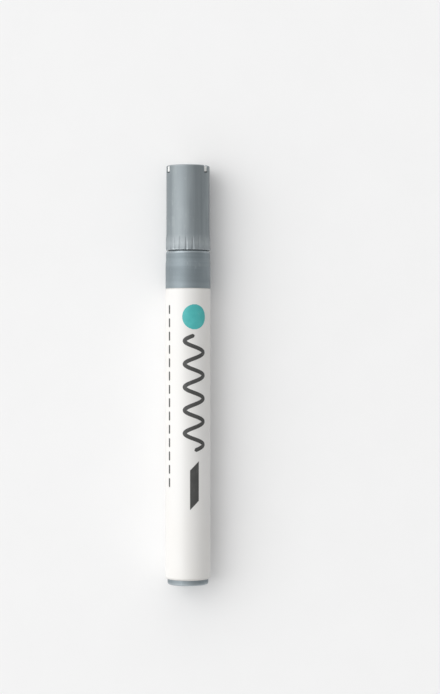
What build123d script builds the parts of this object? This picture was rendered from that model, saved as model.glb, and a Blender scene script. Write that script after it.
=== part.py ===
from build123d import *
import os
from math import cos, pi, sin, sqrt

# Liquid chalk marker: a white barrel with a pump valve, a reversible nib and a vented push-on cap.
# It lies on its side as on a table. Its axis runs along X, the cap points to +X, the table is z = 0
# and the origin is under the middle of the marker. Every piece is made about the X axis first, with
# x counted from the tail face, and is moved into that frame when it is written. Sizes are in mm.

# Barrel
BODY_DIAMETER = 15.0
BARREL_LENGTH = 96.4
BARREL_WALL = 1.2
BARREL_FLOOR = 1.6
BARREL_ROUND = 0.7
FLOOR_ROUND = 1.0
MOUTH_BREAK = 0.12

# Tail plug
PLUG_HEAD_LENGTH = 1.8
PLUG_INSET = 0.7
PLUG_ROUND = 0.6
PLUG_SPIGOT_DIAMETER = 10.2
PLUG_SPIGOT_LENGTH = 4.0
PLUG_WALL = 1.1
PLUG_DISH_DIAMETER = 7.0
PLUG_DISH_DEPTH = 0.35

# Front section: spigot, collar, neck and nose
COLLAR_LENGTH = 12.4
COLLAR_STEP = 0.05
RING_LENGTH = 3.0
RING_SLOPE = 1.2
RING_STEP = 0.13
SEAM_ROUND = 0.55
SPIGOT_RELIEF = 0.15
SPIGOT_RIB_COUNT = 2
SPIGOT_RIB_WIDTH = 1.0
NECK_LENGTH = 9.4
BEAD_HEIGHT = 0.15
BEAD_WIDTH = 1.2
BEAD_SETBACK = 4.8
LAND_LENGTH = 3.2
NOSE_LENGTH = 7.2
NOSE_TAPER = 0.4
NOSE_WALL = 0.8
NOSE_ROUND = 0.35
FIN_COUNT = 6
FIN_WIDTH = 0.9
FIN_HEIGHT = 0.5
GUIDE_SETBACK = 1.2

# Nib, a bullet at one end and a chisel at the other
NIB_DIAMETER = 4.5
NIB_LENGTH = 31.0
NIB_REACH = 7.2
NIB_TRAVEL = 2.5
BULLET_LENGTH = 3.2
CHISEL_EDGE = 1.3
CHISEL_ANGLE = 50.0

# Pump valve
CUP_WALL = 0.55
CUP_DEPTH = 2.6
CUP_SLOT_COUNT = 4
CUP_SLOT_WIDTH = 0.9
STEM_REACH = 5.2
SHOULDER_LAND = 0.55
SHOULDER_LENGTH = 1.6
PIN_DIAMETER = 4.0
SEAL_THICKNESS = 1.2
CAGE_WALL = 0.6
CAGE_FLOOR = 1.2
CAGE_GRIP = 7.0
WINDOW_COUNT = 4
WINDOW_WIDTH = 2.6
WINDOW_LENGTH = 3.4
SPRING_LENGTH = 11.0
SPRING_WIRE = 0.5
SPRING_DIAMETER = 6.2
SPRING_TURNS = 6
WIRE_SIDES = 8

# Cap and its sealing liner
CAP_STEP = 0.3
CAP_DRAFT = 0.03
CAP_WALL = 0.9
SKIRT_HEIGHT = 0.16
SKIRT_LENGTH = 3.5
SKIRT_EASE = 2.4
MOUTH_ROUND = 0.3
MOUTH_LEAD = 0.25
NIB_TIP_GAP = 1.6
LINER_WALL = 0.65
LINER_END = 0.8
LINER_LEAD = 0.3
RIB_COUNT = 6
RIB_WIDTH = 1.2
CROWN_LEDGE = 1.0
CROWN_RIM = 1.1
CROWN_ROUND = 0.4
FLANGE_THICKNESS = 0.8
FLANGE_RECESS = 0.38
BUTTON_DIAMETER = 6.8
VENT_COUNT = 3
VENT_TURN = 56.0
VENT_WIDTH = 1.7
VENT_DEPTH = 2.5
KEY_WIDTH = 1.3
KEY_INSET = 0.12
FLUTE_COUNT = 21
FLUTE_TURN = 13.9
FLUTE_WIDTH = 1.4
FLUTE_DEPTH = 0.2

# Mixing ball
BALL_DIAMETER = 6.0

# Clearances: radial for round fits, along the axis for faces
PRESS_GAP = 0.02
NIB_GAP = 0.08
CUP_GAP = 0.3
STEM_GAP = 0.25
GRIP_GAP = 0.05
FACE_GAP = 0.02
SEAM_GAP = 0.28
END_GAP = 0.3
BALL_GAP = 0.05

# Radii that follow from the sizes above
body_r = BODY_DIAMETER / 2
bore_r = body_r - BARREL_WALL
plug_head_r = body_r - PLUG_INSET
plug_spigot_r = PLUG_SPIGOT_DIAMETER / 2
socket_r = plug_spigot_r + PRESS_GAP
collar_r = body_r - COLLAR_STEP
spigot_r = bore_r - SPIGOT_RELIEF
nib_r = NIB_DIAMETER / 2
guide_r = nib_r + NIB_GAP
channel_r = guide_r + FIN_HEIGHT
nose_tip_r = channel_r + NOSE_WALL
land_r = nose_tip_r + NOSE_TAPER
cup_bore_r = nib_r + NIB_GAP
cup_r = cup_bore_r + CUP_WALL
chamber_r = cup_r + CUP_GAP
shoulder_r = chamber_r + SHOULDER_LAND
cage_bore_r = shoulder_r + STEM_GAP
cage_r = cage_bore_r + CAGE_WALL
valve_bore_r = cage_r + PRESS_GAP
cap_wall_r = body_r - CAP_STEP
cap_skirt_r = cap_wall_r + SKIRT_HEIGHT
cap_crown_r = cap_wall_r - CAP_DRAFT
cap_bore_r = cap_wall_r - CAP_WALL
cap_inner_r = cap_crown_r - CAP_WALL
ring_r = collar_r - RING_STEP
bead_r = cap_bore_r - GRIP_GAP
neck_r = bead_r - BEAD_HEIGHT
liner_bore_r = land_r + GRIP_GAP
liner_r = liner_bore_r + LINER_WALL
ledge_r = liner_r + PRESS_GAP
rib_r = ledge_r + PRESS_GAP
rim_r = cap_crown_r - CROWN_RIM
flange_r = rim_r - PRESS_GAP
button_r = BUTTON_DIAMETER / 2
ball_r = BALL_DIAMETER / 2
coil_r = SPRING_DIAMETER / 2
coil_pitch = (SPRING_LENGTH - SPRING_WIRE) / SPRING_TURNS

# Places along the axis, from the tail face to the crown of the cap
x_barrel_tail = PLUG_HEAD_LENGTH
x_floor_rear = x_barrel_tail + PLUG_SPIGOT_LENGTH + END_GAP
x_floor_front = x_floor_rear + BARREL_FLOOR
x_collar_rear = x_barrel_tail + BARREL_LENGTH
x_collar_front = x_collar_rear + COLLAR_LENGTH
x_ring_rear = x_collar_front - RING_LENGTH
x_cap_mouth = x_collar_front + SEAM_GAP
x_skirt_end = x_cap_mouth + SKIRT_LENGTH
x_wall_start = x_skirt_end + SKIRT_EASE
x_neck_end = x_collar_front + NECK_LENGTH
x_land_end = x_neck_end + LAND_LENGTH
x_nose_tip = x_neck_end + NOSE_LENGTH
x_nib_tip = x_nose_tip + NIB_REACH
x_nib_rear = x_nib_tip - NIB_LENGTH
x_cup_floor = x_nib_rear - FACE_GAP
x_cup_rim = x_cup_floor + CUP_DEPTH
x_guide_rear = x_cup_rim + GUIDE_SETBACK
x_seat = x_nib_rear - STEM_REACH
x_seal_rear = x_seat - SEAL_THICKNESS
x_shoulder_front = x_seal_rear - FACE_GAP
x_shoulder_rear = x_shoulder_front - SHOULDER_LENGTH
x_spring_front = x_shoulder_rear - FACE_GAP
x_cage_floor = x_spring_front - SPRING_LENGTH
x_cage_rear = x_cage_floor - CAGE_FLOOR
x_pin_end = x_cage_floor + NIB_TRAVEL + END_GAP
x_spigot_rear = x_seal_rear - CAGE_GRIP
x_liner_mouth = x_neck_end + END_GAP
x_cap_step = x_liner_mouth
x_liner_floor = x_nib_tip + NIB_TIP_GAP
x_liner_end = x_liner_floor + LINER_END
x_ledge = x_liner_end + CROWN_LEDGE
x_flange_rear = x_ledge + FACE_GAP
x_flange_front = x_flange_rear + FLANGE_THICKNESS
x_crown = x_flange_front + FLANGE_RECESS
x_ball = x_floor_front + BALL_GAP + ball_r

TOLERANCE = 1e-4
OVERCUT = 1.0
ROOT = 0.2
FLUTE_CUTTER = 4.0


def turned(*outline):
    """Solid of revolution about X through corner points given as (x, radius)."""
    return revolve(make_face(Polyline(*outline, close=True)), Axis.X)


def ring_edges(solid, x, radius):
    """Circular edges of a turned solid at one place along its axis."""
    rings = solid.edges().filter_by(GeomType.CIRCLE)
    return [e for e in rings if abs(e.arc_center.X - x) + abs(e.radius - radius) < TOLERANCE]


def around(tool, count, start=0.0):
    """Copies of a tool, evenly spaced about X. Angles count from +Z."""
    return [Rot(X=start + 360 * i / count) * tool for i in range(count)]


def radial_bar(x_from, x_to, r_from, r_to, width):
    """Box on the +Z side of the axis, between two places and two radii."""
    bar = Box(x_to - x_from, width, r_to - r_from)
    return Pos((x_from + x_to) / 2, 0, (r_from + r_to) / 2) * bar


def ring_bead(x_middle, root_r, crest_r, width):
    """Round bead with sloping flanks, rooted in the tube below it."""
    half = width / 2
    return turned(
        (x_middle - half, root_r - ROOT),
        (x_middle - half, root_r),
        (x_middle - half / 2, crest_r),
        (x_middle + half / 2, crest_r),
        (x_middle + half, root_r),
        (x_middle + half, root_r - ROOT),
    )


def make_barrel():
    """Moulded tube with a floor near its tail and a socket behind the floor for the plug."""
    tube = turned(
        (x_barrel_tail, socket_r),
        (x_barrel_tail, body_r),
        (x_collar_rear, body_r),
        (x_collar_rear, bore_r),
        (x_floor_front, bore_r),
        (x_floor_front, 0),
        (x_floor_rear, 0),
        (x_floor_rear, socket_r),
    )
    tube = fillet(ring_edges(tube, x_barrel_tail, body_r), BARREL_ROUND)
    tube = fillet(ring_edges(tube, x_floor_front, bore_r), FLOOR_ROUND)
    return chamfer(ring_edges(tube, x_collar_rear, body_r), MOUTH_BREAK)


def make_tail_plug():
    """Colour-coded button on the tail, with a hollow spigot pressed into the barrel."""
    x_spigot_end = x_barrel_tail + PLUG_SPIGOT_LENGTH
    plug = turned(
        (0, 0),
        (0, plug_head_r),
        (x_barrel_tail, plug_head_r),
        (x_barrel_tail, plug_spigot_r),
        (x_spigot_end, plug_spigot_r),
        (x_spigot_end, plug_spigot_r - PLUG_WALL),
        (x_barrel_tail, plug_spigot_r - PLUG_WALL),
        (x_barrel_tail, 0),
    )
    plug = fillet(ring_edges(plug, 0, plug_head_r), PLUG_ROUND)
    dish_r = PLUG_DISH_DIAMETER / 2
    plug -= turned(
        (-OVERCUT, 0),
        (-OVERCUT, dish_r + OVERCUT),
        (PLUG_DISH_DEPTH, dish_r - PLUG_DISH_DEPTH),
        (PLUG_DISH_DEPTH, 0),
    )
    return plug


def nib_guide_bore():
    """Bore of the nose: a wide channel with fins that hold the nib and let ink past."""
    x_front = x_nose_tip + OVERCUT
    channel = turned((x_guide_rear, 0), (x_guide_rear, channel_r), (x_front, channel_r), (x_front, 0))
    fin = radial_bar(x_guide_rear - OVERCUT, x_front, 0, channel_r + OVERCUT, FIN_WIDTH)
    nib_hole = turned((x_guide_rear, 0), (x_guide_rear, guide_r), (x_front, guide_r), (x_front, 0))
    return channel - around(fin, FIN_COUNT) + nib_hole


def make_front_section():
    """Grey moulding with the collar that shows, the neck for the cap and the nose for the nib."""
    section = turned(
        (x_spigot_rear, valve_bore_r),
        (x_spigot_rear, spigot_r),
        (x_collar_rear, spigot_r),
        (x_collar_rear, collar_r),
        (x_ring_rear - RING_SLOPE, collar_r),
        (x_ring_rear, ring_r),
        (x_collar_front, ring_r),
        (x_collar_front, neck_r),
        (x_neck_end, neck_r),
        (x_neck_end, land_r),
        (x_land_end, land_r),
        (x_nose_tip, nose_tip_r),
        (x_nose_tip, 0),
        (x_seat, 0),
        (x_seat, valve_bore_r),
    )
    section = chamfer(ring_edges(section, x_collar_rear, collar_r), MOUTH_BREAK)
    section = fillet(ring_edges(section, x_collar_front, ring_r), SEAM_ROUND)
    section = chamfer(ring_edges(section, x_spigot_rear, spigot_r), SPIGOT_RELIEF)
    section = fillet(ring_edges(section, x_neck_end, neck_r), NOSE_ROUND)
    section = fillet(ring_edges(section, x_nose_tip, nose_tip_r), NOSE_ROUND)
    section += ring_bead(x_collar_front + BEAD_SETBACK, neck_r, bead_r, BEAD_WIDTH)
    rib_pitch = (x_collar_rear - x_spigot_rear) / (SPIGOT_RIB_COUNT + 1)
    for i in range(SPIGOT_RIB_COUNT):
        x_rib = x_spigot_rear + rib_pitch * (i + 1)
        section += ring_bead(x_rib, spigot_r, bore_r - PRESS_GAP, SPIGOT_RIB_WIDTH)
    section -= turned((x_seat, 0), (x_seat, chamber_r), (x_guide_rear, chamber_r), (x_guide_rear, 0))
    return section - nib_guide_bore()


def make_nib():
    """Pressed-fibre rod, rounded to a bullet in front and cut to a chisel behind."""
    x_bullet = x_nib_tip - BULLET_LENGTH
    outline = [
        Polyline((x_nib_tip, 0), (x_nib_rear, 0), (x_nib_rear, nib_r), (x_bullet, nib_r)),
        EllipticalCenterArc((x_bullet, 0), BULLET_LENGTH, nib_r, start_angle=0, arc_size=90),
    ]
    rod = revolve(make_face(outline), Axis.X)
    slope = CHISEL_ANGLE * pi / 180
    cut = Plane(origin=(x_nib_rear, 0, CHISEL_EDGE - nib_r), z_dir=(sin(slope), 0, -cos(slope)))
    return split(rod, bisect_by=cut, keep=Keep.TOP)


def make_valve_stem():
    """Plunger: a slotted cup for the nib, a shoulder that closes the seal and a stop pin behind."""
    pin_r = PIN_DIAMETER / 2
    stem = turned(
        (x_pin_end, 0),
        (x_pin_end, pin_r),
        (x_shoulder_rear, pin_r),
        (x_shoulder_rear, shoulder_r),
        (x_shoulder_front, shoulder_r),
        (x_shoulder_front, cup_r),
        (x_cup_rim, cup_r),
        (x_cup_rim, cup_bore_r),
        (x_cup_floor, cup_bore_r),
        (x_cup_floor, 0),
    )
    slot = radial_bar(x_cup_floor, x_cup_rim + OVERCUT, 0, cup_r + OVERCUT, CUP_SLOT_WIDTH)
    return stem - around(slot, CUP_SLOT_COUNT, start=180 / CUP_SLOT_COUNT)


def make_valve_seal():
    """Soft flat ring, clamped between the seat in the front section and the rim of the cage."""
    return turned(
        (x_seal_rear, chamber_r),
        (x_seal_rear, cage_r),
        (x_seat, cage_r),
        (x_seat, chamber_r),
    )


def make_valve_cage():
    """Cup that holds the spring, open to the ink through windows behind the spigot."""
    cage = turned(
        (x_cage_rear, 0),
        (x_cage_rear, cage_r),
        (x_seal_rear, cage_r),
        (x_seal_rear, cage_bore_r),
        (x_cage_floor, cage_bore_r),
        (x_cage_floor, 0),
    )
    cage = fillet(ring_edges(cage, x_cage_rear, cage_r), CAGE_WALL)
    x_window = x_cage_floor + CAGE_WALL
    window = radial_bar(x_window, x_window + WINDOW_LENGTH, 0, cage_r + OVERCUT, WINDOW_WIDTH)
    return cage - around(window, WINDOW_COUNT)


def coil_point(turns):
    """Place on the spring's centre line after a number of turns."""
    angle = 2 * pi * turns
    x = x_cage_floor + SPRING_WIRE / 2 + coil_pitch * turns
    return Vector(x, coil_r * cos(angle), coil_r * sin(angle))


def coil_heading(turns):
    """Direction of the spring's centre line after a number of turns."""
    angle = 2 * pi * turns
    return Vector(coil_pitch, -2 * pi * coil_r * sin(angle), 2 * pi * coil_r * cos(angle)).normalized()


def quarter_turn(turns):
    """Two tangent arcs that follow the helix for a quarter of a turn."""
    start, end = coil_point(turns), coil_point(turns + 0.25)
    leaving, arriving = coil_heading(turns), coil_heading(turns + 0.25)
    chord = end - start
    along = chord.dot(leaving + arriving)
    bend = 2 * (1 - leaving.dot(arriving))
    reach = (sqrt(along**2 + bend * chord.dot(chord)) - along) / bend
    corner, next_corner = start + leaving * reach, end - arriving * reach
    joint = (corner + next_corner) * 0.5
    return [
        TangentArc(start, joint, tangent=leaving),
        TangentArc(joint, end, tangent=next_corner - corner),
    ]


def least_coil_gap():
    """Least free gap between turns, measured on points of the centre line half a turn or more apart."""
    steps = 24
    points = [coil_point(i / steps) for i in range(SPRING_TURNS * steps + 1)]
    apart = [(a - b).length for i, a in enumerate(points) for b in points[i + steps // 2:]]
    return min(apart) - SPRING_WIRE


def make_valve_spring():
    """Steel compression spring between the floor of the cage and the shoulder of the stem."""
    arcs = [arc for i in range(4 * SPRING_TURNS) for arc in quarter_turn(i / 4)]
    section = Plane(origin=coil_point(0), z_dir=coil_heading(0)) * RegularPolygon(SPRING_WIRE / 2, WIRE_SIDES)
    return sweep(section, path=Wire(arcs))


def mouth_flute():
    """V-shaped cutter for one grip flute, leaning so that the flute runs out halfway up the skirt's ease."""
    start = Vector(x_cap_mouth, 0, cap_skirt_r - FLUTE_DEPTH)
    lean = Vector((x_skirt_end + x_wall_start) / 2, 0, (cap_skirt_r + cap_wall_r) / 2) - start
    half = FLUTE_WIDTH * FLUTE_CUTTER / 2
    rise = FLUTE_DEPTH * FLUTE_CUTTER
    section = make_face(Polyline((0, 0), (half, rise), (-half, rise), close=True))
    across = Plane(origin=start - lean, x_dir=(0, 1, 0), z_dir=lean)
    return extrude(across * section, 3 * lean.length)


def vent_notch(x_rear, x_front, r_from, r_to, width):
    """Bars of one size at the places of the vents, to cut the notches or to make the keys in them."""
    return around(radial_bar(x_rear, x_front, r_from, r_to, width), VENT_COUNT, start=VENT_TURN)


def make_cap_shell():
    """Grey outer cap with a ledge in its crown, vent notches, liner ribs inside and a fluted skirt."""
    skirt_end = (x_skirt_end, cap_skirt_r)
    wall_start = (x_wall_start, cap_wall_r)
    outline = [
        Spline(skirt_end, wall_start, tangents=[(1, 0), (1, 0)]),
        Polyline(
            wall_start,
            (x_crown, cap_crown_r),
            (x_crown, rim_r),
            (x_ledge, rim_r),
            (x_ledge, ledge_r),
            (x_liner_end, ledge_r),
            (x_liner_end, cap_inner_r),
            (x_cap_step, cap_inner_r),
            (x_cap_step, cap_bore_r),
            (x_cap_mouth, cap_bore_r),
            (x_cap_mouth, cap_skirt_r),
            skirt_end,
        ),
    ]
    shell = revolve(make_face(outline), Axis.X)
    shell = fillet(ring_edges(shell, x_crown, cap_crown_r), CROWN_ROUND)
    shell = chamfer(ring_edges(shell, x_cap_mouth, cap_bore_r), MOUTH_LEAD)
    shell = fillet(ring_edges(shell, x_cap_mouth, cap_skirt_r), MOUTH_ROUND)
    rib = radial_bar(x_cap_step + RIB_WIDTH, x_liner_end + ROOT, rib_r, cap_inner_r + ROOT, RIB_WIDTH)
    shell += around(rib, RIB_COUNT, start=180 / RIB_COUNT)
    shell -= vent_notch(x_crown - VENT_DEPTH, x_crown + OVERCUT, liner_bore_r, body_r + OVERCUT, VENT_WIDTH)
    return shell - around(mouth_flute(), FLUTE_COUNT, start=FLUTE_TURN)


def make_cap_liner():
    """White inner cap that seals on the root of the nose. Its flange closes the crown, keyed to the vents."""
    liner = turned(
        (x_liner_mouth, liner_bore_r),
        (x_liner_mouth, liner_r),
        (x_flange_rear, liner_r),
        (x_flange_rear, flange_r),
        (x_flange_front, flange_r),
        (x_flange_front, button_r),
        (x_liner_end, button_r),
        (x_liner_end, 0),
        (x_liner_floor, 0),
        (x_liner_floor, liner_bore_r),
    )
    liner = chamfer(ring_edges(liner, x_liner_mouth, liner_bore_r), LINER_LEAD)
    liner = fillet(ring_edges(liner, x_liner_floor, liner_bore_r), LINER_END)
    liner = chamfer(ring_edges(liner, x_flange_front, flange_r), KEY_INSET)
    key_rear = x_crown - VENT_DEPTH + VENT_WIDTH - KEY_WIDTH
    return liner + vent_notch(key_rear, x_flange_front, liner_r - ROOT, cap_crown_r - KEY_INSET, KEY_WIDTH)


def make_mixing_ball():
    """Loose steel ball that lies on the lower side of the bore and stirs the ink."""
    return Pos(x_ball, 0, ball_r + BALL_GAP - bore_r) * Sphere(ball_r)


PIECES = {
    "barrel": make_barrel,
    "tail_plug": make_tail_plug,
    "front_section": make_front_section,
    "nib": make_nib,
    "valve_stem": make_valve_stem,
    "valve_seal": make_valve_seal,
    "valve_cage": make_valve_cage,
    "valve_spring": make_valve_spring,
    "cap_shell": make_cap_shell,
    "cap_liner": make_cap_liner,
    "mixing_ball": make_mixing_ball,
}

os.makedirs("parts", exist_ok=True)
resting_place = Pos(-x_crown / 2, 0, body_r)
for name, make in PIECES.items():
    piece = resting_place * make()
    export_step(piece, f"parts/{name}.step")
    print(f"{name}: {piece.volume:.2f} cubic mm")
ball_travel = x_cage_rear - ball_r - BALL_GAP - x_ball
print(f"least gap between spring turns {least_coil_gap():.2f} mm")
print(f"length {x_crown:.2f} mm, ball travel {ball_travel:.2f} mm, nib travel {NIB_TRAVEL:.2f} mm")
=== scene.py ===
# %% [markdown]
# # A liquid chalk marker
# The marker is a white barrel with a slate-grey collar and a push-on cap. Inside are a spring valve,
# a fibre nib and a steel ball that stirs the ink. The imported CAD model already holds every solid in
# its right place, in metres, so it is loaded first and never moved. This file adds what a solid
# model lacks: the finishes, the printed marks, the stubs left by the moulds, the fibres of the nib
# and the round wire of the spring.

import bpy
import numpy as np
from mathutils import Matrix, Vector


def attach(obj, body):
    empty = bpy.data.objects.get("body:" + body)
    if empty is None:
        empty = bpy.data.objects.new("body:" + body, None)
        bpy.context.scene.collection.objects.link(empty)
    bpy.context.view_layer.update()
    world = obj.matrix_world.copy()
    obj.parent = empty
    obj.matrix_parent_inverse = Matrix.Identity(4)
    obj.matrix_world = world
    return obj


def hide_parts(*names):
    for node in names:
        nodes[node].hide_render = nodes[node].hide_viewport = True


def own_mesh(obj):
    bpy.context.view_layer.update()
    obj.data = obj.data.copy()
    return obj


MM = 0.001

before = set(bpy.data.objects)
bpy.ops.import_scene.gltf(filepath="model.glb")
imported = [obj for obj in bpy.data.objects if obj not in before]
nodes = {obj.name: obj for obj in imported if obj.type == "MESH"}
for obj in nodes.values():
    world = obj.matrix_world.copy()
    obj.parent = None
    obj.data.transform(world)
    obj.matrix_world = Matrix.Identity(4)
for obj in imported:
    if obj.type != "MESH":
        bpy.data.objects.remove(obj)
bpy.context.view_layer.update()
print("solids:", ", ".join(sorted(nodes)))

# %% [markdown]
# ## The camera
# The picture is taken from straight above, so the cap points up in it. A camera with no rotation
# looks down already, with +Y upwards in the picture. A quarter turn about Z brings +X upwards
# instead. The distance sets how strongly the near side swells, and the lens then sets how large the
# marker looks. So the distance is settled first and the lens after it.

# %% Camera above the table
CAMERA_PLACE = (9.3 * MM, -10.66 * MM, 607.5 * MM)
CAMERA_LENS = 93.5
QUARTER_TURN = np.pi / 2

camera_lens = bpy.data.cameras.new("camera")
camera_lens.lens = CAMERA_LENS
camera = bpy.data.objects.new("camera", camera_lens)
camera.location = CAMERA_PLACE
camera.rotation_euler = (0, 0, -QUARTER_TURN)
bpy.context.scene.collection.objects.link(camera)
bpy.context.scene.camera = camera
print("camera height in mm:", round(CAMERA_PLACE[2] / MM, 1))

# %% [markdown]
# ## Wiring nodes with little text
# A finish is a small network of nodes. Nodes could be dragged together by hand, but in a script a
# few helpers keep the wiring short. The first one places a node, and sets or links its sockets from
# a dictionary: a plain value is set on the socket, and another node's socket is linked to it. It
# returns the output, so one node can be handed straight to the next.

# %% Place a node
def put(tree, kind, inputs=None, output=0, **settings):
    """Places one node in a tree, fills its sockets and returns one of its outputs."""
    node = tree.nodes.new("ShaderNode" + kind)
    for name, value in settings.items():
        setattr(node, name, value)
    for name, value in (inputs or {}).items():
        if isinstance(value, bpy.types.NodeSocket):
            tree.links.new(value, node.inputs[name])
        else:
            node.inputs[name].default_value = value
    return node.outputs[output]


def reckon(tree, operation, *values):
    """Places a Math node: the operation on one to three numbers or sockets."""
    return put(tree, "Math", dict(enumerate(values)), operation=operation)


def ramp(tree, value, low, high, from_zero=0.0, to_one=1.0):
    """Turns low..high of a value into from_zero..to_one, smoothly and clamped."""
    limits = {"From Min": low, "From Max": high, "To Min": from_zero, "To Max": to_one}
    return put(tree, "MapRange", {"Value": value, **limits}, interpolation_type="SMOOTHSTEP")


print("helpers for nodes:", put.__name__, reckon.__name__, ramp.__name__)

# %% Mix colours
# A Mix node has sockets for numbers, vectors and colours: these are the places of those used here.
FIRST_NUMBER, SECOND_NUMBER = 2, 3
FIRST_COLOR, SECOND_COLOR, MIXED_COLOR = 6, 7, 2


def blend(tree, share, first, second):
    """Mixes two colours by a share from 0 to 1."""
    inputs = {"Factor": share, FIRST_COLOR: first, SECOND_COLOR: second}
    return put(tree, "Mix", inputs, output=MIXED_COLOR, data_type="RGBA")


def tint(tree, color, toward, mask, strength):
    """Draws a colour towards another one where a mask shows, as far as the strength says."""
    return blend(tree, reckon(tree, "MULTIPLY", mask, strength), color, toward)


def linear(red, green, blue):
    """A colour given as on a screen, 0 to 255, in the linear light that shaders count in. It follows
    the sRGB curve: a straight start for very dark values, and a power of 2.4 above it."""
    screen = np.array([red, green, blue]) / 255
    light = np.where(screen <= 0.04045, screen / 12.92, ((screen + 0.055) / 1.055) ** 2.4)
    return (*light.tolist(), 1.0)


print("middle grey of a screen in linear light:", round(linear(128, 128, 128)[0], 3))

# %% Make and use node groups
def new_group(name, inputs, outputs):
    """A shader node group with float inputs, given with their first values, and float outputs."""
    group = bpy.data.node_groups.new(name, "ShaderNodeTree")
    float_socket = {"socket_type": "NodeSocketFloat"}
    for socket_name, value in inputs.items():
        socket = group.interface.new_socket(socket_name, in_out="INPUT", **float_socket)
        socket.default_value = value
    for socket_name in outputs:
        group.interface.new_socket(socket_name, in_out="OUTPUT", **float_socket)
    entry = group.nodes.new("NodeGroupInput")
    exit_node = group.nodes.new("NodeGroupOutput")
    return group, entry.outputs, exit_node.inputs


def use_group(tree, group, **values):
    """Places a group in a material with its own values, and returns its outputs by name."""
    node = tree.nodes.new("ShaderNodeGroup")
    node.node_tree = group
    for name, value in values.items():
        node.inputs[name.replace("_", " ")].default_value = value
    return node.outputs


print("helpers for groups:", new_group.__name__, use_group.__name__)

# %% [markdown]
# ## Noise about the marker's axis
# Plastic, rubber, fibre and ink all vary a little from place to place, and 3D noise does that with
# no seam and no unwrapping. It is read at Object coordinates, so it stays on the piece from any
# side. Shrinking one axis draws the noise cells out along it, which turns round grains into streaks.

# %% Noise helpers
BARREL_R = 7.5
AXIS_HEIGHT = BARREL_R * MM
ROUND_CELLS = (1, 1, 1)


def object_place(tree, cells=ROUND_CELLS, turn=(0.0, 0.0, 0.0)):
    """Object coordinates about the marker's axis, shrunk for cells that are drawn out one way."""
    place = put(tree, "TexCoord", output="Object")
    to_axis = (0, 0, -AXIS_HEIGHT * cells[2])
    inputs = {"Vector": place, "Location": to_axis, "Scale": cells, "Rotation": turn}
    return put(tree, "Mapping", inputs)


def noise(tree, place, scale, detail=2.0, roughness=0.5):
    """Noise from 0 to 1 around 0.5."""
    inputs = {"Vector": place, "Scale": scale, "Detail": detail, "Roughness": roughness}
    return put(tree, "TexNoise", inputs)


def patches(tree, scale, low, high, detail=2.0, roughness=0.5):
    """Soft-edged patches: a noise of round cells, cut off smoothly between a low and a high value."""
    return ramp(tree, noise(tree, object_place(tree), scale, detail, roughness), low, high)


print("axis above the table in mm:", BARREL_R)

# %% [markdown]
# ## What all moulded plastic shares
# Every plastic piece here was shot into a steel mould. The mould's fine spark-eroded grain comes out
# on the skin, and the melt leaves faint streaks in the direction in which it flowed. Both are read
# from noise: round cells for the grain, and cells drawn out along the flow for the streaks. As a
# node group the effect is built once, and each plastic sets its own cell size and flow direction.

# %% Group: the skin of a moulding
LENGTHWISE_CELLS = (0.04, 1, 1)
RINGWISE_CELLS = (1, 0.05, 0.05)
CLOUD_CELLS = (0.4, 1, 1)
CLOUD_SCALE = 90.0

skin_group, skin_in, skin_out = new_group(
    "moulded_skin",
    {"Grain Scale": 5000.0, "Along Flow": 0.0, "Streak Scale": 700.0},
    ["Grain", "Streak", "Cloud"],
)
tree = skin_group
grain = noise(tree, object_place(tree), skin_in["Grain Scale"], detail=3.0)
lengthwise = noise(tree, object_place(tree, LENGTHWISE_CELLS), skin_in["Streak Scale"], detail=3.0)
ringwise = noise(tree, object_place(tree, RINGWISE_CELLS), skin_in["Streak Scale"], detail=3.0)
flow_choice = {"Factor": skin_in["Along Flow"], FIRST_NUMBER: ringwise, SECOND_NUMBER: lengthwise}
streak = put(tree, "Mix", flow_choice, data_type="FLOAT")
cloud = noise(tree, object_place(tree, CLOUD_CELLS), CLOUD_SCALE)
tree.links.new(grain, skin_out["Grain"])
tree.links.new(streak, skin_out["Streak"])
tree.links.new(cloud, skin_out["Cloud"])
print("group:", skin_group.name, "with", len(skin_group.nodes), "nodes")

# %% [markdown]
# ## What handling leaves
# A marker that has been picked up shows greasy patches, which change the gloss, and a few hairline
# scratches. A scratch is a thin slice through noise that is drawn out along one direction: only
# where the noise is very near its middle value does the line show. Slices at different slants look
# accidental, and a slow noise keeps them to some places only. Dust is the far peak of a fine noise.

# %% Group: handling marks
SCRATCH_CELLS = (0.05, 1, 1)
SCALE_AT_SLANT = {0.35: 900.0, -0.6: 700.0, 1.35: 820.0}

handling_group, handling_in, handling_out = new_group(
    "handling_marks",
    {"Hairline": 0.012, "Amount": 0.5},
    ["Scratch", "Smudge", "Dust"],
)
tree = handling_group
scratches = 0.0
for slant, scale in SCALE_AT_SLANT.items():
    slanted = object_place(tree, SCRATCH_CELLS, turn=(0.0, slant, slant))
    drawn_out = noise(tree, slanted, scale, detail=0.0)
    off_middle = reckon(tree, "ABSOLUTE", reckon(tree, "SUBTRACT", drawn_out, 0.5))
    line = reckon(tree, "LESS_THAN", off_middle, handling_in["Hairline"])
    scratches = reckon(tree, "MAXIMUM", scratches, line)
scratched = patches(tree, scale=230.0, low=0.52, high=0.66, detail=3.0)
scratch = reckon(tree, "MULTIPLY", scratches, scratched)
scratch = reckon(tree, "MULTIPLY", scratch, handling_in["Amount"])
smudge = patches(tree, scale=120.0, low=0.35, high=0.7, detail=4.0, roughness=0.6)
specks = patches(tree, scale=2600.0, low=0.78, high=0.84, detail=0.0)
dust = reckon(tree, "MULTIPLY", specks, patches(tree, scale=160.0, low=0.48, high=0.68))
tree.links.new(scratch, handling_out["Scratch"])
tree.links.new(smudge, handling_out["Smudge"])
tree.links.new(dust, handling_out["Dust"])
print("group:", handling_group.name, "with", len(handling_group.nodes), "nodes")

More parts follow.
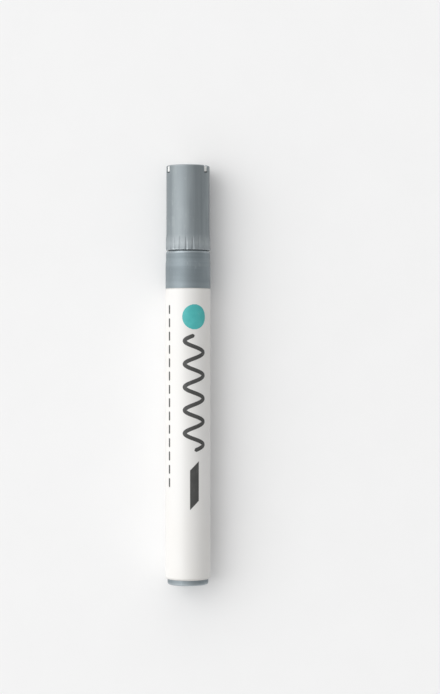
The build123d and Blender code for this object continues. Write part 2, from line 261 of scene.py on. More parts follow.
# %% [markdown]
# ## Worn and grimy bands
# Wear on a turned piece sits where its edges are: at one place along the axis, all the way round. So
# a mask for it needs only the place along X. It is one at the chosen place, fades to nothing within
# the chosen width, and a noise frays it, because no edge wears evenly.

# %% Group: a frayed ring at one place along the axis
FRAY_SCALE = 900.0

ring_group, ring_in, ring_out = new_group(
    "frayed_ring",
    {"Place mm": 0.0, "Width mm": 1.0, "Fray": 0.6},
    ["Mask"],
)
tree = ring_group
x_place = put(tree, "SeparateXYZ", {0: put(tree, "TexCoord", output="Object")})
x_mm = reckon(tree, "MULTIPLY", x_place, 1 / MM)
away = reckon(tree, "ABSOLUTE", reckon(tree, "SUBTRACT", x_mm, ring_in["Place mm"]))
near = reckon(tree, "SUBTRACT", 1.0, reckon(tree, "DIVIDE", away, ring_in["Width mm"]))
near = reckon(tree, "MAXIMUM", near, 0.0)
fray_noise = noise(tree, object_place(tree), FRAY_SCALE, detail=3.0)
frayed = reckon(tree, "MULTIPLY", ring_in["Fray"], reckon(tree, "MULTIPLY", fray_noise, 2.0))
kept = reckon(tree, "ADD", reckon(tree, "SUBTRACT", 1.0, ring_in["Fray"]), frayed)
mask = put(tree, "Clamp", {"Value": reckon(tree, "MULTIPLY", near, kept)})
tree.links.new(mask, ring_out["Mask"])
print("group:", ring_group.name, "with", len(ring_group.nodes), "nodes")

# %% [markdown]
# ## A material and its bump
# Each finish starts from one Principled shader. Heights are real: the Bump node's Distance is in
# metres, so a grain five microns deep is written as five microns. Several layers, such as streaks,
# grain and scratches, add up to one height. Gloss that stays the same all over is set on the shader
# itself, and only what changes over the surface comes through nodes.

# %% Start a finish
MICRON = 1e-6


def new_finish(name, **constants):
    """A material with a Principled shader: returns the material, its tree and the shader's inputs."""
    finish = bpy.data.materials.new(name)
    finish.use_nodes = True
    shader = finish.node_tree.nodes["Principled BSDF"]
    for socket_name, value in constants.items():
        shader.inputs[socket_name.replace("_", " ")].default_value = value
    return finish, finish.node_tree, shader.inputs


def layered(tree, *layers):
    """One height from several layers: each value times its weight, added up."""
    height = 0.0
    for value, weight in layers:
        height = reckon(tree, "MULTIPLY_ADD", value, weight, height)
    return height


def wire(tree, shader, color, roughness, height, depth):
    """Links colour and roughness to the shader, and a height as a bump of the given depth."""
    tree.links.new(color, shader["Base Color"])
    tree.links.new(roughness, shader["Roughness"])
    bump = put(tree, "Bump", {"Height": height, "Distance": depth, "Strength": 1.0})
    tree.links.new(bump, shader["Normal"])


def dress(node_name, finish):
    """Gives a CAD node its finish."""
    for material_slot in nodes[node_name].material_slots:
        material_slot.material = finish
    print("dressed", node_name, "in", finish.name)


print("helpers for finishes:", new_finish.__name__, layered.__name__, wire.__name__, dress.__name__)

# %% [markdown]
# ## Slate-grey plastic of the cap, collar and plug
# The grey pieces are satin polypropylene with a pearl pigment, whose tiny flakes mirror the light.
# That makes the lit side pale and the other side dark, so most of the shader is metallic. The
# highlight breaks up into soft stripes, because the skin sinks a few microns between the flow lines.
# On the cap the melt runs from the crown to the mouth, so the stripes run lengthwise. On the collar
# it runs round, so they lie across. The collar is also a touch darker and bluer than the cap, as two
# batches of plastic often are. One function makes all three materials, and only the tones, the flow
# and the pale rings change. At the crown, the rear of the collar and the tail rim the rings are wear:
# fingers and the cap's own rubbing leave those edges paler and smoother. At the cap's skirt and mouth
# and at the collar's seam and step, the paleness is partly that wear and partly a painted highlight,
# which brightens the bands where the flutes and rounded edges catch the light.

# %% Slate-grey plastic
CAP_TONES = {
    "deep": linear(130, 138, 142),
    "full": linear(141, 149, 152),
    "pale": linear(186, 192, 195),
}
COLLAR_TONES = {
    "deep": linear(126, 136, 141),
    "full": linear(137, 147, 152),
    "pale": linear(184, 192, 196),
}
DUST_GREY = linear(205, 206, 203)
SATIN, SMUDGED = 0.58, 0.52


def slate_plastic(name, tones, along_flow, sink, worn_and_highlit_rings):
    """Satin grey moulding in three tones, whose streaks sink by a depth in microns. Each ring
    has a place along the axis and a width in mm, how pale it is, and how much roughness its polish
    takes away. The paleness is wear, and on some rings also a painted highlight."""
    finish, tree, shader = new_finish(name, Specular_IOR_Level=0.8, Metallic=0.65)
    skin = use_group(tree, skin_group, Grain_Scale=5200.0, Along_Flow=along_flow, Streak_Scale=620.0)
    marks = use_group(tree, handling_group, Hairline=0.01, Amount=0.6)
    streaked = ramp(tree, skin["Streak"], low=0.3, high=0.7)
    cloudy = ramp(tree, skin["Cloud"], low=0.45, high=0.8)
    color = blend(tree, streaked, tones["deep"], tones["full"])
    color = tint(tree, color, tones["pale"], cloudy, strength=0.2)
    color = tint(tree, color, tones["pale"], marks["Scratch"], strength=0.25)
    roughness = ramp(tree, marks["Smudge"], 0.0, 1.0, SATIN, SMUDGED)
    for ring in worn_and_highlit_rings:
        band = {"Place_mm": ring["place"], "Width_mm": ring["width"], "Fray": 0.6}
        worn_and_highlit = use_group(tree, ring_group, **band)["Mask"]
        # Paleness of a ring: wear, and on the skirt, mouth, seam and step rings a painted highlight
        # as well.
        color = tint(tree, color, tones["pale"], worn_and_highlit, strength=ring["pale"])
        roughness = reckon(tree, "MULTIPLY_ADD", worn_and_highlit, -ring["polish"], roughness)
    color = tint(tree, color, DUST_GREY, marks["Dust"], strength=0.2)
    height = layered(tree, (skin["Streak"], 3.0), (skin["Grain"], 0.6), (marks["Scratch"], -0.8))
    wire(tree, shader, color, roughness, height, sink * MICRON)
    return finish


print("satin roughness from", SMUDGED, "to", SATIN)

# %% Worn edges and painted highlights of the grey pieces
HALF_LENGTH = 69.5


def frame_x(from_tail):
    """A place counted in mm from the tail face, in the frame's mm, with its origin at the middle."""
    return from_tail - HALF_LENGTH


X_CROWN, X_SKIRT, X_MOUTH = frame_x(139.0), frame_x(112.9), frame_x(110.9)
X_SEAM, X_RING, X_COLLAR_REAR = frame_x(110.25), frame_x(107.0), frame_x(98.2)
X_TAIL_RIM = frame_x(0.3)

# The skirt and mouth rings are wear and also a painted highlight, where the flutes and the mouth's
# rounded edge catch the light.
cap_wear_and_highlights = [
    {"place": X_CROWN, "width": 0.5, "pale": 0.5, "polish": 0.1},
    {"place": X_SKIRT, "width": 3.2, "pale": 0.4, "polish": 0.0},
    {"place": X_MOUTH, "width": 0.6, "pale": 0.3, "polish": 0.25},
]
# The seam and step rings are wear and also a painted highlight, on the seam's rounded edge and the
# sloped step that catch the light.
collar_wear_and_highlights = [
    {"place": X_SEAM, "width": 0.55, "pale": 0.5, "polish": 0.3},
    {"place": X_RING, "width": 0.5, "pale": 0.1, "polish": 0.0},
    {"place": X_COLLAR_REAR, "width": 0.3, "pale": 0.4, "polish": 0.1},
]
plug_wear = [{"place": X_TAIL_RIM, "width": 0.7, "pale": 0.5, "polish": 0.1}]

slate_cap = slate_plastic("slate_cap", CAP_TONES, 1.0, sink=10, worn_and_highlit_rings=cap_wear_and_highlights)
slate_collar = slate_plastic("slate_collar", COLLAR_TONES, 0.1, sink=16, worn_and_highlit_rings=collar_wear_and_highlights)
slate_plug = slate_plastic("slate_plug", COLLAR_TONES, 0.5, sink=8, worn_and_highlit_rings=plug_wear)
dress("cap_shell", slate_cap)
dress("front_section", slate_collar)
dress("tail_plug", slate_plug)

# %% [markdown]
# ## White plastic of the barrel
# The barrel is a glossy white tube. White plastic is never quite white: it is a little warm, and it
# greys in a hairline where the joints trap dirt. Fine lines from the polished core run along it.
# They are kept so faint that they only stir the reflection.

# %% White finish
WHITE = linear(225, 224, 222)
WHITE_WARM = linear(222, 220, 216)
GRIME = linear(160, 158, 152)
X_TAIL_JOINT = frame_x(1.8)
WIDTH_OF_GRIME = {X_COLLAR_REAR: 0.45, X_TAIL_JOINT: 0.9}


def barrel_white():
    """Glossy white moulding, greyed at the collar and at the plug."""
    finish, tree, shader = new_finish("barrel_white_gloss", Specular_IOR_Level=0.4)
    skin = use_group(tree, skin_group, Grain_Scale=2400.0, Along_Flow=1.0, Streak_Scale=900.0)
    cloudy = ramp(tree, skin["Cloud"], low=0.35, high=0.75, to_one=0.7)
    color = blend(tree, cloudy, WHITE, WHITE_WARM)
    for place, width in WIDTH_OF_GRIME.items():
        grimy = use_group(tree, ring_group, Place_mm=place, Width_mm=width, Fray=0.5)["Mask"]
        color = tint(tree, color, GRIME, grimy, strength=0.45)
    roughness = ramp(tree, skin["Cloud"], low=0.3, high=0.7, from_zero=0.28, to_one=0.31)
    height = layered(tree, (skin["Streak"], 1.0), (skin["Grain"], 0.7))
    wire(tree, shader, color, roughness, height, 1.5 * MICRON)
    return finish


dress("barrel", barrel_white())

# %% [markdown]
# ## Natural plastic of the valve and the liner
# The valve's stem and cage and the white liner of the cap are moulded without pigment, in plastic
# that lets a little light in. A touch of subsurface scattering gives that milky look. Blender's
# first values for it suit skin, with a red glow, so the three colours get nearly the same reach
# here. It is the same all over, so it is set on the shader. The flow streaks of the shared skin
# group still show in the colour.

# %% Milky finishes
MILKY_SCATTERING = {
    "Subsurface_Weight": 0.12,
    "Subsurface_Scale": 0.6 * MM,
    "Subsurface_Radius": (1.0, 0.95, 0.9),
}


def milky_plastic(name, clear, dense, along_flow, gloss):
    """Unpigmented moulding between two near-white colours, with a satin gloss."""
    finish, tree, shader = new_finish(name, **MILKY_SCATTERING)
    skin = use_group(tree, skin_group, Grain_Scale=4200.0, Along_Flow=along_flow, Streak_Scale=800.0)
    marks = use_group(tree, handling_group, Hairline=0.008, Amount=0.4)
    color = blend(tree, ramp(tree, skin["Streak"], low=0.3, high=0.7), clear, dense)
    cloudy = ramp(tree, skin["Cloud"], low=0.4, high=0.8, to_one=0.4)
    color = blend(tree, cloudy, color, clear)
    roughness = ramp(tree, marks["Smudge"], 0.0, 1.0, from_zero=gloss + 0.06, to_one=gloss)
    height = layered(tree, (skin["Streak"], 1.0), (skin["Grain"], 0.5))
    wire(tree, shader, color, roughness, height, 4 * MICRON)
    return finish


VALVE_CLEAR, VALVE_DENSE = linear(212, 215, 211), linear(226, 227, 223)
LINER_CLEAR, LINER_DENSE = linear(224, 226, 224), linear(234, 234, 232)
valve_milky = milky_plastic("valve_milky", VALVE_CLEAR, VALVE_DENSE, along_flow=1.0, gloss=0.38)
liner_milky = milky_plastic("liner_milky", LINER_CLEAR, LINER_DENSE, along_flow=0.3, gloss=0.42)
dress("valve_stem", valve_milky)
dress("valve_cage", valve_milky)
dress("cap_liner", liner_milky)

# %% [markdown]
# ## Rubber seal and steel ball
# The seal is a punched ring of black rubber: nearly matt, with a fine sandy grain and a bloom of
# pale dust. The ball is polished steel. A mirror needs something to break it, so hairline scratches
# and smears change its roughness, and a faint bump makes its reflection waver.

# %% Rubber
RUBBER, RUBBER_GRAIN, RUBBER_BLOOM = linear(26, 26, 27), linear(44, 44, 45), linear(92, 92, 90)


def seal_rubber():
    """Matt black rubber with grain and a pale bloom."""
    finish, tree, shader = new_finish("seal_black_rubber", Specular_IOR_Level=0.35)
    skin = use_group(tree, skin_group, Grain_Scale=7000.0, Along_Flow=0.0, Streak_Scale=1500.0)
    marks = use_group(tree, handling_group, Hairline=0.01, Amount=0.3)
    color = blend(tree, skin["Grain"], RUBBER, RUBBER_GRAIN)
    color = tint(tree, color, RUBBER_BLOOM, marks["Smudge"], strength=0.25)
    roughness = ramp(tree, skin["Cloud"], low=0.3, high=0.7, from_zero=0.62, to_one=0.78)
    wire(tree, shader, color, roughness, skin["Grain"], 9 * MICRON)
    return finish


dress("valve_seal", seal_rubber())

# %% Polished steel
STEEL, STEEL_PALE = linear(196, 197, 198), linear(214, 214, 213)
MIRROR, SMEARED, SCRATCH_ROUGHNESS = 0.09, 0.2, 0.25


def polished_steel():
    """Mirror-like steel with scratches and smears."""
    finish, tree, shader = new_finish("ball_polished_steel", Metallic=1.0)
    skin = use_group(tree, skin_group, Grain_Scale=3000.0, Along_Flow=0.5, Streak_Scale=900.0)
    marks = use_group(tree, handling_group, Hairline=0.012, Amount=0.9)
    color = blend(tree, skin["Cloud"], STEEL, STEEL_PALE)
    roughness = ramp(tree, marks["Smudge"], 0.0, 1.0, MIRROR, SMEARED)
    roughness = reckon(tree, "MULTIPLY_ADD", marks["Scratch"], SCRATCH_ROUGHNESS, roughness)
    height = layered(tree, (skin["Grain"], 1.0), (marks["Scratch"], -1.0))
    wire(tree, shader, color, roughness, height, 1 * MICRON)
    return finish


dress("mixing_ball", polished_steel())

# %% [markdown]
# ## Closed skins from rings of points
# Each new piece is a closed surface made of rings: a grid with one parameter along the piece and one
# round it. The last point of a ring joins its first, and a single point closes each end. Modifiers
# could thicken an open sheet instead, but a grid that closes itself needs no repair afterwards. The
# volume under all triangles comes out positive only when the faces point outwards, so it is printed.

# %% Faces of a closed skin
def closed_faces(rings, count, first):
    """Faces of one closed skin: quads between neighbouring rings and a fan of triangles at each end.
    The points are numbered ring by ring from 'first', then the start pole and the end pole."""
    grid = first + np.arange(rings * count).reshape(rings, count)
    turned = np.roll(grid, -1, axis=1)
    quads = np.stack([grid[:-1], turned[:-1], turned[1:], grid[1:]], axis=-1).reshape(-1, 4)
    start_pole, end_pole = first + rings * count, first + rings * count + 1
    start = np.stack([np.full(count, start_pole), turned[0], grid[0]], axis=-1)
    end = np.stack([np.full(count, end_pole), grid[-1], turned[-1]], axis=-1)
    return quads.tolist() + start.tolist() + end.tolist()


def volume_of(mesh, points):
    """Volume under the triangles: a sixth of the sum of a . (b x c) over their corners a, b and c."""
    mesh.calc_loop_triangles()
    corners = np.zeros(len(mesh.loop_triangles) * 3, int)
    mesh.loop_triangles.foreach_get("vertices", corners)
    a, b, c = points[corners.reshape(-1, 3)].transpose(1, 0, 2)
    return np.einsum("ij,ij->", a, np.cross(b, c)) / 6


print("faces of two rings of four points:", len(closed_faces(2, 4, 0)))

# %% From rings to an object
def make_piece(name, skins, finish, body, sharp_angle=40):
    """Builds one object from closed skins, each given in mm as rings (m, n, 3) and two pole points.
    Edges that turn by more than the sharp angle, in degrees, stay crisp."""
    points, faces, first = [], [], 0
    for rings, start_pole, end_pole in skins:
        faces += closed_faces(rings.shape[0], rings.shape[1], first)
        points += [rings.reshape(-1, 3), [start_pole], [end_pole]]
        first += rings.shape[0] * rings.shape[1] + 2
    points = np.concatenate(points)
    mesh = bpy.data.meshes.new(name)
    mesh.from_pydata((points * MM).tolist(), [], faces)
    mesh.shade_smooth()
    mesh.set_sharp_from_angle(angle=np.radians(sharp_angle))
    mesh.materials.append(finish)
    piece = bpy.data.objects.new(name, mesh)
    bpy.context.scene.collection.objects.link(piece)
    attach(piece, body)
    volume = volume_of(mesh, points)
    print(f"{name}: {len(mesh.polygons)} faces, volume {volume:.4f} cubic mm")
    return piece


print("helper for pieces:", make_piece.__name__)

# %% [markdown]
# ## Screen ink
# Chalk markers carry screen-printed marks. The ink is pushed through a woven screen, so its skin
# keeps a faint weave, and its colour is a little uneven where it went on thin. A wave texture stands
# for the threads, and two noises for the mottle and the pinholes. Both inks on the barrel share one
# group and differ only in colour.

# %% Group: screen ink
THREAD_SLANT = (0.0, 0.0, 0.5)
WAVE_NUMBER = 1

ink_group, ink_in, ink_out = new_group("screen_ink", {"Mesh Scale": 9000.0}, ["Weave", "Mottle"])
tree = ink_group
threads = object_place(tree, turn=THREAD_SLANT)
thread_wave = {"Vector": threads, "Scale": ink_in["Mesh Scale"], "Distortion": 0.6}
weave = put(tree, "TexWave", thread_wave, output=WAVE_NUMBER)
filled = patches(tree, scale=6000.0, low=0.2, high=0.4)
mottle = noise(tree, object_place(tree), scale=420.0, detail=4.0)
mottle = reckon(tree, "MULTIPLY", mottle, filled)
tree.links.new(weave, ink_out["Weave"])
tree.links.new(mottle, ink_out["Mottle"])
print("group:", ink_group.name, "with", len(ink_group.nodes), "nodes")

# %% Two inks
def printed_ink(name, thin, full):
    """Ink between a thin and a full colour, with the weave of the printing screen in its skin."""
    finish, tree, shader = new_finish(name, Specular_IOR_Level=0.5)
    ink = use_group(tree, ink_group, Mesh_Scale=9000.0)
    marks = use_group(tree, handling_group, Hairline=0.006, Amount=0.5)
    color = blend(tree, ramp(tree, ink["Mottle"], low=0.1, high=0.7), thin, full)
    color = tint(tree, color, WHITE, marks["Scratch"], strength=0.15)
    roughness = ramp(tree, marks["Smudge"], 0.0, 1.0, from_zero=0.44, to_one=0.36)
    height = layered(tree, (ink["Weave"], 1.0), (ink["Mottle"], 2.0))
    wire(tree, shader, color, roughness, height, 2 * MICRON)
    return finish


ink_teal = printed_ink("ink_teal", thin=linear(82, 184, 182), full=linear(70, 172, 171))
ink_charcoal = printed_ink("ink_charcoal", thin=linear(76, 76, 75), full=linear(66, 66, 65))
print("inks:", ink_teal.name, "and", ink_charcoal.name)

# %% [markdown]
# ## The film of a printed mark
# A mark could be painted by the barrel's material, but real screen ink is a film with an edge that
# catches light. So each mark is a thin closed skin that lies on the barrel, with its underside in the
# plastic. It is drawn flat first, as a stroke along a path. Then the way across is wound round the
# barrel, where a length along the arc becomes an angle.

# %% Film on the barrel
FILM_TOP, FILM_ROOT = 0.03, -0.06
LEAST_END = 0.02


def film(x, arc, width, slant=0.0, across=12):
    """Thin skin on the barrel, as a flat profile carried along a path of places x and arc lengths.
    The half-width is half of 'width', and falls by a circle of that radius towards each end, unless
    the mark is slanted: then its ends stay straight, and x shifts by the slant times the way across.
    A ring runs over the top at FILM_TOP and back below at FILM_ROOT. An arc length s and a height h
    become the angle s / R and the radius R + h about the axis."""
    ahead_x, ahead_arc = np.gradient(x), np.gradient(arc)
    stride = np.hypot(ahead_x, ahead_arc)
    run = np.concatenate([[0], np.cumsum(np.hypot(np.diff(x), np.diff(arc)))])
    from_end = np.clip(np.minimum(run, run[-1] - run) * 2 / width, LEAST_END, 1)
    half = width / 2 * (np.sqrt(1 - (1 - from_end) ** 2) if slant == 0 else np.ones_like(run))
    sweep = np.linspace(-1, 1, across)
    way = half[:, None] * np.concatenate([sweep, sweep[::-1]])
    height = np.repeat([FILM_TOP, FILM_ROOT], across)
    ring_x = x[:, None] - way * (ahead_arc / stride)[:, None] + slant * way
    angle = (arc[:, None] + way * (ahead_x / stride)[:, None]) / BARREL_R
    radius = np.broadcast_to(BARREL_R + height, way.shape)
    y, z = -radius * np.sin(angle), BARREL_R + radius * np.cos(angle)
    rings = np.stack([ring_x, y, z], axis=-1)
    return rings, rings[0].mean(axis=0), rings[-1].mean(axis=0)


def straight(x_from, x_to, arc, steps=40):
    """A path along the barrel at one arc length, with more points near its two ends: the way along
    it grows as (1 - cos t) / 2 while t runs evenly from 0 to pi."""
    ease = (1 - np.cos(np.linspace(0, np.pi, steps))) / 2
    return x_from + (x_to - x_from) * ease, np.full(steps, arc)


print("film thickness in mm:", FILM_TOP)

# %% [markdown]
# ## The marks themselves
# The marks are plain ones that show what the marker does: a dot in a bright ink, a wavy stroke as the
# nib's round end writes, a slanted one as its chisel end does, and a broken line along the side.
# Outlines could be drawn as curves and filled, but all four are strokes of the same film: the dot is
# as wide as it is long, the wave is a sine along the barrel, and the dashes repeat one short stroke.

# %% Dot
X_DOT, ARC_DOT, DOT_R = X_COLLAR_REAR - 9.45, 2.32, 4.1

dot_path = straight(X_DOT - DOT_R, X_DOT + DOT_R, ARC_DOT, steps=64)
make_piece("print_dot", [film(*dot_path, width=2 * DOT_R, across=28)], ink_teal, "holder")

# %% Sample strokes
X_STROKES, STROKE_WIDTH, STROKE_GAP = X_COLLAR_REAR - 15.5, 1.3, 5.0
WAVE_LENGTH, WAVE_COUNT, WAVE_REACH = 7.6, 5, 3.3
CHISEL_LENGTH, CHISEL_WIDTH = 13.0, 3.0

wave_x = np.linspace(X_STROKES - WAVE_COUNT * WAVE_LENGTH, X_STROKES, 300)
wave_arc = ARC_DOT + WAVE_REACH * np.sin((wave_x - X_STROKES) * 2 * np.pi / WAVE_LENGTH)
round_stroke = film(wave_x, wave_arc, STROKE_WIDTH)
x_chisel = wave_x[0] - STROKE_GAP
chisel_path = straight(x_chisel - CHISEL_LENGTH, x_chisel, ARC_DOT)
chisel_stroke = film(*chisel_path, width=CHISEL_WIDTH, slant=1.0, across=14)
make_piece("print_strokes", [round_stroke, chisel_stroke], ink_charcoal, "holder")

# %% Broken line
X_DASHES, ARC_DASHES = X_COLLAR_REAR - 5.5, -7.0
DASH_LENGTH, DASH_WIDTH, DASH_PITCH, DASH_COUNT = 3.0, 0.7, 4.4, 14

dash_places = X_DASHES - DASH_PITCH * np.arange(DASH_COUNT)
dash_paths = [straight(x - DASH_LENGTH, x, ARC_DASHES, steps=14) for x in dash_places]
dashes = [film(*path, width=DASH_WIDTH, across=6) for path in dash_paths]
make_piece("print_dashes", dashes, ink_charcoal, "holder")

# %% [markdown]
# ## Gate marks
# Where the melt entered a mould, a little stub is left when the runner is broken off. On this marker
# the gates are hidden in the dish of the tail plug and in the button of the cap's liner. Each stub is
# a small turned skin: a profile of radii and heights carried round the marker's axis, rooted in the
# face below. The solid model could carry it too, but it is too small to matter there.

# %% Gate stubs
STUB_RADII = np.array([0.60, 0.60, 0.55, 0.46, 0.30])
STUB_HEIGHTS = np.array([-0.10, 0.00, 0.10, 0.13, 0.11])
STUB_ROOT, STUB_TIP = -0.10, 0.08
X_DISH_FLOOR, X_BUTTON_FACE = frame_x(0.35), frame_x(136.8)


def gate_stub(face_x, facing, around=32):
    """Rings of a stub on a face that looks along +X (facing 1) or -X (facing -1). A point of the
    profile stands at face_x + facing times its height, and its radius is turned about the axis."""
    turn = np.linspace(0, 2 * np.pi, around, endpoint=False)
    x = np.broadcast_to(face_x + facing * STUB_HEIGHTS[:, None], (len(STUB_HEIGHTS), around))
    y = -facing * STUB_RADII[:, None] * np.sin(turn)
    z = BARREL_R + STUB_RADII[:, None] * np.cos(turn)
    root = (face_x + facing * STUB_ROOT, 0.0, BARREL_R)
    tip = (face_x + facing * STUB_TIP, 0.0, BARREL_R)
    return np.stack([x, y, z], axis=-1), root, tip


plug_stub = make_piece("plug_gate_stub", [gate_stub(X_DISH_FLOOR, -1)], slate_plug, "holder")
liner_stub = make_piece("liner_gate_stub", [gate_stub(X_BUTTON_FACE, 1)], liner_milky, "cap")

# %% [markdown]
# ## The fibre nib
# The nib is a rod of pressed fibres, ground to a bullet in front and cut to a chisel behind. Its
# fibres run along it and leave fine furrows. The solid model has the plain rod. This skin has the
# same outline and adds the furrows, always inwards, so it never touches the fins that guide it.
# Rings start at the middle of the chisel face, spread to its rim, run along the rod and close over
# the bullet.

# %% Nib skin
NIB_R, X_NIB_REAR, X_NIB_TIP, BULLET_LENGTH = 2.25, frame_x(103.4), frame_x(134.4), 3.2
CHISEL_SLOPE, CHISEL_FLAT = 0.839, 0.95
FURROW_WAVES = ((31, 1.0), (47, 2.0), (67, 0.4))
FURROW_DEPTH = 0.0075
CROWDING = 1.2


def nib_skin(around=192, face_rings=16, side_rings=40, bullet_rings=26):
    """Rings of the nib. With z from the axis, the chisel's rear is
    x = rear + max(0, CHISEL_SLOPE (z + CHISEL_FLAT)). On the bullet, x runs as BULLET_LENGTH sin(t)
    while the radius shrinks as cos(t). The furrows are a sum of three waves round the rod, each
    from 0 down to twice FURROW_DEPTH."""
    turn = np.linspace(0, 2 * np.pi, around, endpoint=False)
    waves = sum(np.sin(count * turn + shift) for count, shift in FURROW_WAVES)
    rod = NIB_R - FURROW_DEPTH * (waves + len(FURROW_WAVES))
    face_r = np.linspace(0, 1, face_rings + 1)[1:, None] * rod
    face_z = face_r * np.cos(turn)
    face_x = X_NIB_REAR + np.maximum(0, CHISEL_SLOPE * (face_z + CHISEL_FLAT))
    run = np.linspace(0, 1, side_rings + 1)[1:, None] ** CROWDING
    side_x = face_x[-1] + run * (X_NIB_TIP - BULLET_LENGTH - face_x[-1])
    side_r = np.broadcast_to(rod, side_x.shape)
    t = np.linspace(0, np.pi / 2, bullet_rings + 2)[1:-1, None]
    bullet_x = X_NIB_TIP - BULLET_LENGTH * (1 - np.sin(t))
    bullet_x = np.broadcast_to(bullet_x, (bullet_rings, around))
    bullet_r = np.cos(t) * rod
    x = np.concatenate([face_x, side_x, bullet_x])
    r = np.concatenate([face_r, side_r, bullet_r])
    rings = np.stack([x, r * np.sin(-turn), BARREL_R + r * np.cos(turn)], axis=-1)
    start = (X_NIB_REAR + CHISEL_SLOPE * CHISEL_FLAT, 0.0, BARREL_R)
    return rings, start, (X_NIB_TIP, 0.0, BARREL_R)


print("furrows up to", 2 * FURROW_DEPTH * len(FURROW_WAVES), "mm deep")

# %% Nib finish
THREAD_CELLS, TUFT_CELLS = (0.03, 1, 1), (0.3, 1, 1)
FIBRE_DARK, FIBRE, FIBRE_PALE = linear(196, 191, 180), linear(236, 233, 226), linear(243, 241, 236)


def nib_fibre():
    """Matt off-white fibre: fine lines along the rod in colour and height, with a soft sheen."""
    fuzz = {"Specular_IOR_Level": 0.2, "Sheen_Weight": 0.25}
    finish, tree, shader = new_finish("nib_pressed_fibre", **fuzz)
    threads = noise(tree, object_place(tree, THREAD_CELLS), scale=9000.0, detail=3.0)
    tufts = noise(tree, object_place(tree, TUFT_CELLS), scale=2600.0, detail=3.0)
    color = blend(tree, ramp(tree, threads, low=0.3, high=0.65), FIBRE_DARK, FIBRE)
    color = tint(tree, color, FIBRE_PALE, ramp(tree, tufts, low=0.55, high=0.8), strength=0.5)
    roughness = ramp(tree, tufts, low=0.2, high=0.8, from_zero=0.8, to_one=0.95)
    height = layered(tree, (threads, 1.0), (tufts, 0.5))
    wire(tree, shader, color, roughness, height, 40 * MICRON)
    return finish


nib_piece = make_piece("nib_fibres", [nib_skin()], nib_fibre(), "nib_valve", sharp_angle=50)
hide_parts("nib")

# %% [markdown]
# ## The valve spring
# The spring is wound from drawn steel wire. The solid model sweeps a plain eight-sided wire along an
# even helix. This skin has a round wire, and its end turns lie flat, as the ends of a wound spring
# do. It is a circle carried along a helix whose pitch is small at both ends. When the nib is pressed,
# the stem comes back and shortens the spring against its cage.

# %% Spring skin
COIL_R, WIRE_R, SPRING_TURNS = 3.1, 0.25, 6.0
X_SPRING_REAR, SPRING_LENGTH = frame_x(84.36), 10.99
END_PITCH = 0.2


def spring_skin(steps=420, around=12):
    """Rings of the wire. The place along the axis is the running sum of the pitch, which rises from
    END_PITCH to full within the first turn and falls again in the last. Each ring is a circle of the
    wire's radius, laid out by the outward direction and by the direction at right angles to it and
    to the wire."""
    turns = np.linspace(0, SPRING_TURNS, steps)
    from_end = np.clip(np.minimum(turns, SPRING_TURNS - turns), 0, 1)
    pitch = END_PITCH + (1 - END_PITCH) * from_end**2 * (3 - 2 * from_end)
    rise = np.concatenate([[0], np.cumsum((pitch[1:] + pitch[:-1]) / 2)])
    x = X_SPRING_REAR + WIRE_R + rise / rise[-1] * (SPRING_LENGTH - 2 * WIRE_R)
    angle = 2 * np.pi * turns
    outward = np.stack([np.zeros(steps), np.cos(angle), np.sin(angle)], axis=-1)
    axis = np.stack([x, np.zeros(steps), np.full(steps, BARREL_R)], axis=-1)
    centre = axis + COIL_R * outward
    heading = np.gradient(centre, axis=0)
    heading /= np.linalg.norm(heading, axis=1, keepdims=True)
    sideways = np.cross(heading, outward)
    turn = np.linspace(0, 2 * np.pi, around, endpoint=False)[None, :, None]
    circle = np.cos(turn) * outward[:, None] + np.sin(turn) * sideways[:, None]
    return centre[:, None] + WIRE_R * circle, centre[0], centre[-1]


print("spring:", SPRING_TURNS, "turns of wire", 2 * WIRE_R, "mm thick")

# %% Spring finish
WIRE_DARK, WIRE_BRIGHT = linear(150, 150, 148), linear(192, 192, 190)


def drawn_wire():
    """Bright steel wire with draw lines along it."""
    finish, tree, shader = new_finish("spring_drawn_wire", Metallic=1.0)
    skin = use_group(tree, skin_group, Grain_Scale=9000.0, Along_Flow=0.0, Streak_Scale=3200.0)
    color = blend(tree, skin["Streak"], WIRE_DARK, WIRE_BRIGHT)
    roughness = ramp(tree, skin["Streak"], low=0.3, high=0.7, from_zero=0.24, to_one=0.4)
    wire(tree, shader, color, roughness, skin["Streak"], 5 * MICRON)
    return finish


spring_skins = [spring_skin()]
spring_piece = make_piece("spring_round_wire", spring_skins, drawn_wire(), "holder", sharp_angle=60)
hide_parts("valve_spring")
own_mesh(spring_piece)

# %% [markdown]
# ## The table
# The marker lies on a plain pale sheet. A curved backdrop could stand behind it, but from above one
# large square is enough: it reaches far past the picture, so none of its edges shows. A very weak
# noise in its colour and gloss keeps it from looking like one flat grey.

# %% Table
TABLE_REACH = 6.0
FLECK_SCALE = 60.0
PAPER, PAPER_PALE = linear(237, 237, 237), linear(240, 240, 240)

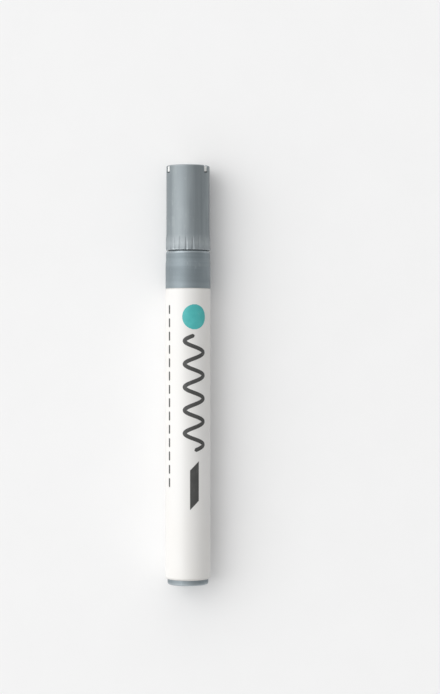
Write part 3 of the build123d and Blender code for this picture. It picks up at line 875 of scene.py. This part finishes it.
table_mesh = bpy.data.meshes.new("table")
corners = TABLE_REACH * np.array([[-1, -1, 0], [1, -1, 0], [1, 1, 0], [-1, 1, 0]], float)
table_mesh.from_pydata(corners.tolist(), [], [[0, 1, 2, 3]])
table = bpy.data.objects.new("table", table_mesh)
bpy.context.scene.collection.objects.link(table)
table_finish, tree, shader = new_finish("table_paper", Specular_IOR_Level=0.2)
fleck = noise(tree, put(tree, "TexCoord", output="Object"), FLECK_SCALE, detail=4.0)
tree.links.new(blend(tree, fleck, PAPER, PAPER_PALE), shader["Base Color"])
tree.links.new(ramp(tree, fleck, 0.0, 1.0, from_zero=0.75, to_one=0.85), shader["Roughness"])
table_mesh.materials.append(table_finish)
print("table reaches", TABLE_REACH, "m")

# %% [markdown]
# ## The light
# One large soft light stands to the upper left of the picture, far away, so the table is lit evenly
# and the shadow falls softly to the right. A sky that is bright on the lamp's side and dim on the
# other keeps the shadow side of the grey plastic dark, and its lit side pale. Low glows beyond the
# cap and the tail are seen only by rounded edges, which then show as bright lines.

# %% Key light
KEY_DIRECTION = Vector((0.25, 0.64, 0.70)).normalized()
KEY_DISTANCE = 3.6
KEY_SIZE = 3.4
KEY_POWER = 47.0

key_light = bpy.data.lights.new("key", "AREA")
key_light.shape = "SQUARE"
key_light.size = KEY_SIZE
key_light.energy = KEY_POWER
key = bpy.data.objects.new("key", key_light)
key.location = KEY_DIRECTION * KEY_DISTANCE
key.rotation_euler = (-KEY_DIRECTION).to_track_quat("-Z", "Y").to_euler()
bpy.context.scene.collection.objects.link(key)
print("key light", KEY_POWER, "W at", KEY_DISTANCE, "m")

# %% Sky
SKY_SIDE = (0.2, 0.95, 0.22)
SKY_DIM, SKY_BRIGHT = 0.41, 1.22
SKY_ENDS = 0.6

sky = bpy.data.worlds.new("studio_sky")
bpy.context.scene.world = sky
sky.use_nodes = True
tree = sky.node_tree
looking = put(tree, "TexCoord")
facing = {0: looking, 1: SKY_SIDE}
toward = put(tree, "VectorMath", facing, output="Value", operation="DOT_PRODUCT")
side_glow = ramp(tree, toward, low=-0.4, high=0.9, from_zero=SKY_DIM, to_one=SKY_BRIGHT)
endwise = reckon(tree, "ABSOLUTE", put(tree, "SeparateXYZ", {0: looking}))
end_glow = ramp(tree, endwise, low=0.6, high=0.95, to_one=SKY_ENDS)
glow = reckon(tree, "ADD", side_glow, end_glow)
sky_color = put(tree, "CombineXYZ", {0: glow, 1: glow, 2: glow})
tree.links.new(sky_color, tree.nodes["Background"].inputs["Color"])
bpy.context.scene.view_settings.view_transform = "Standard"
print("sky from", SKY_DIM, "to", SKY_BRIGHT)
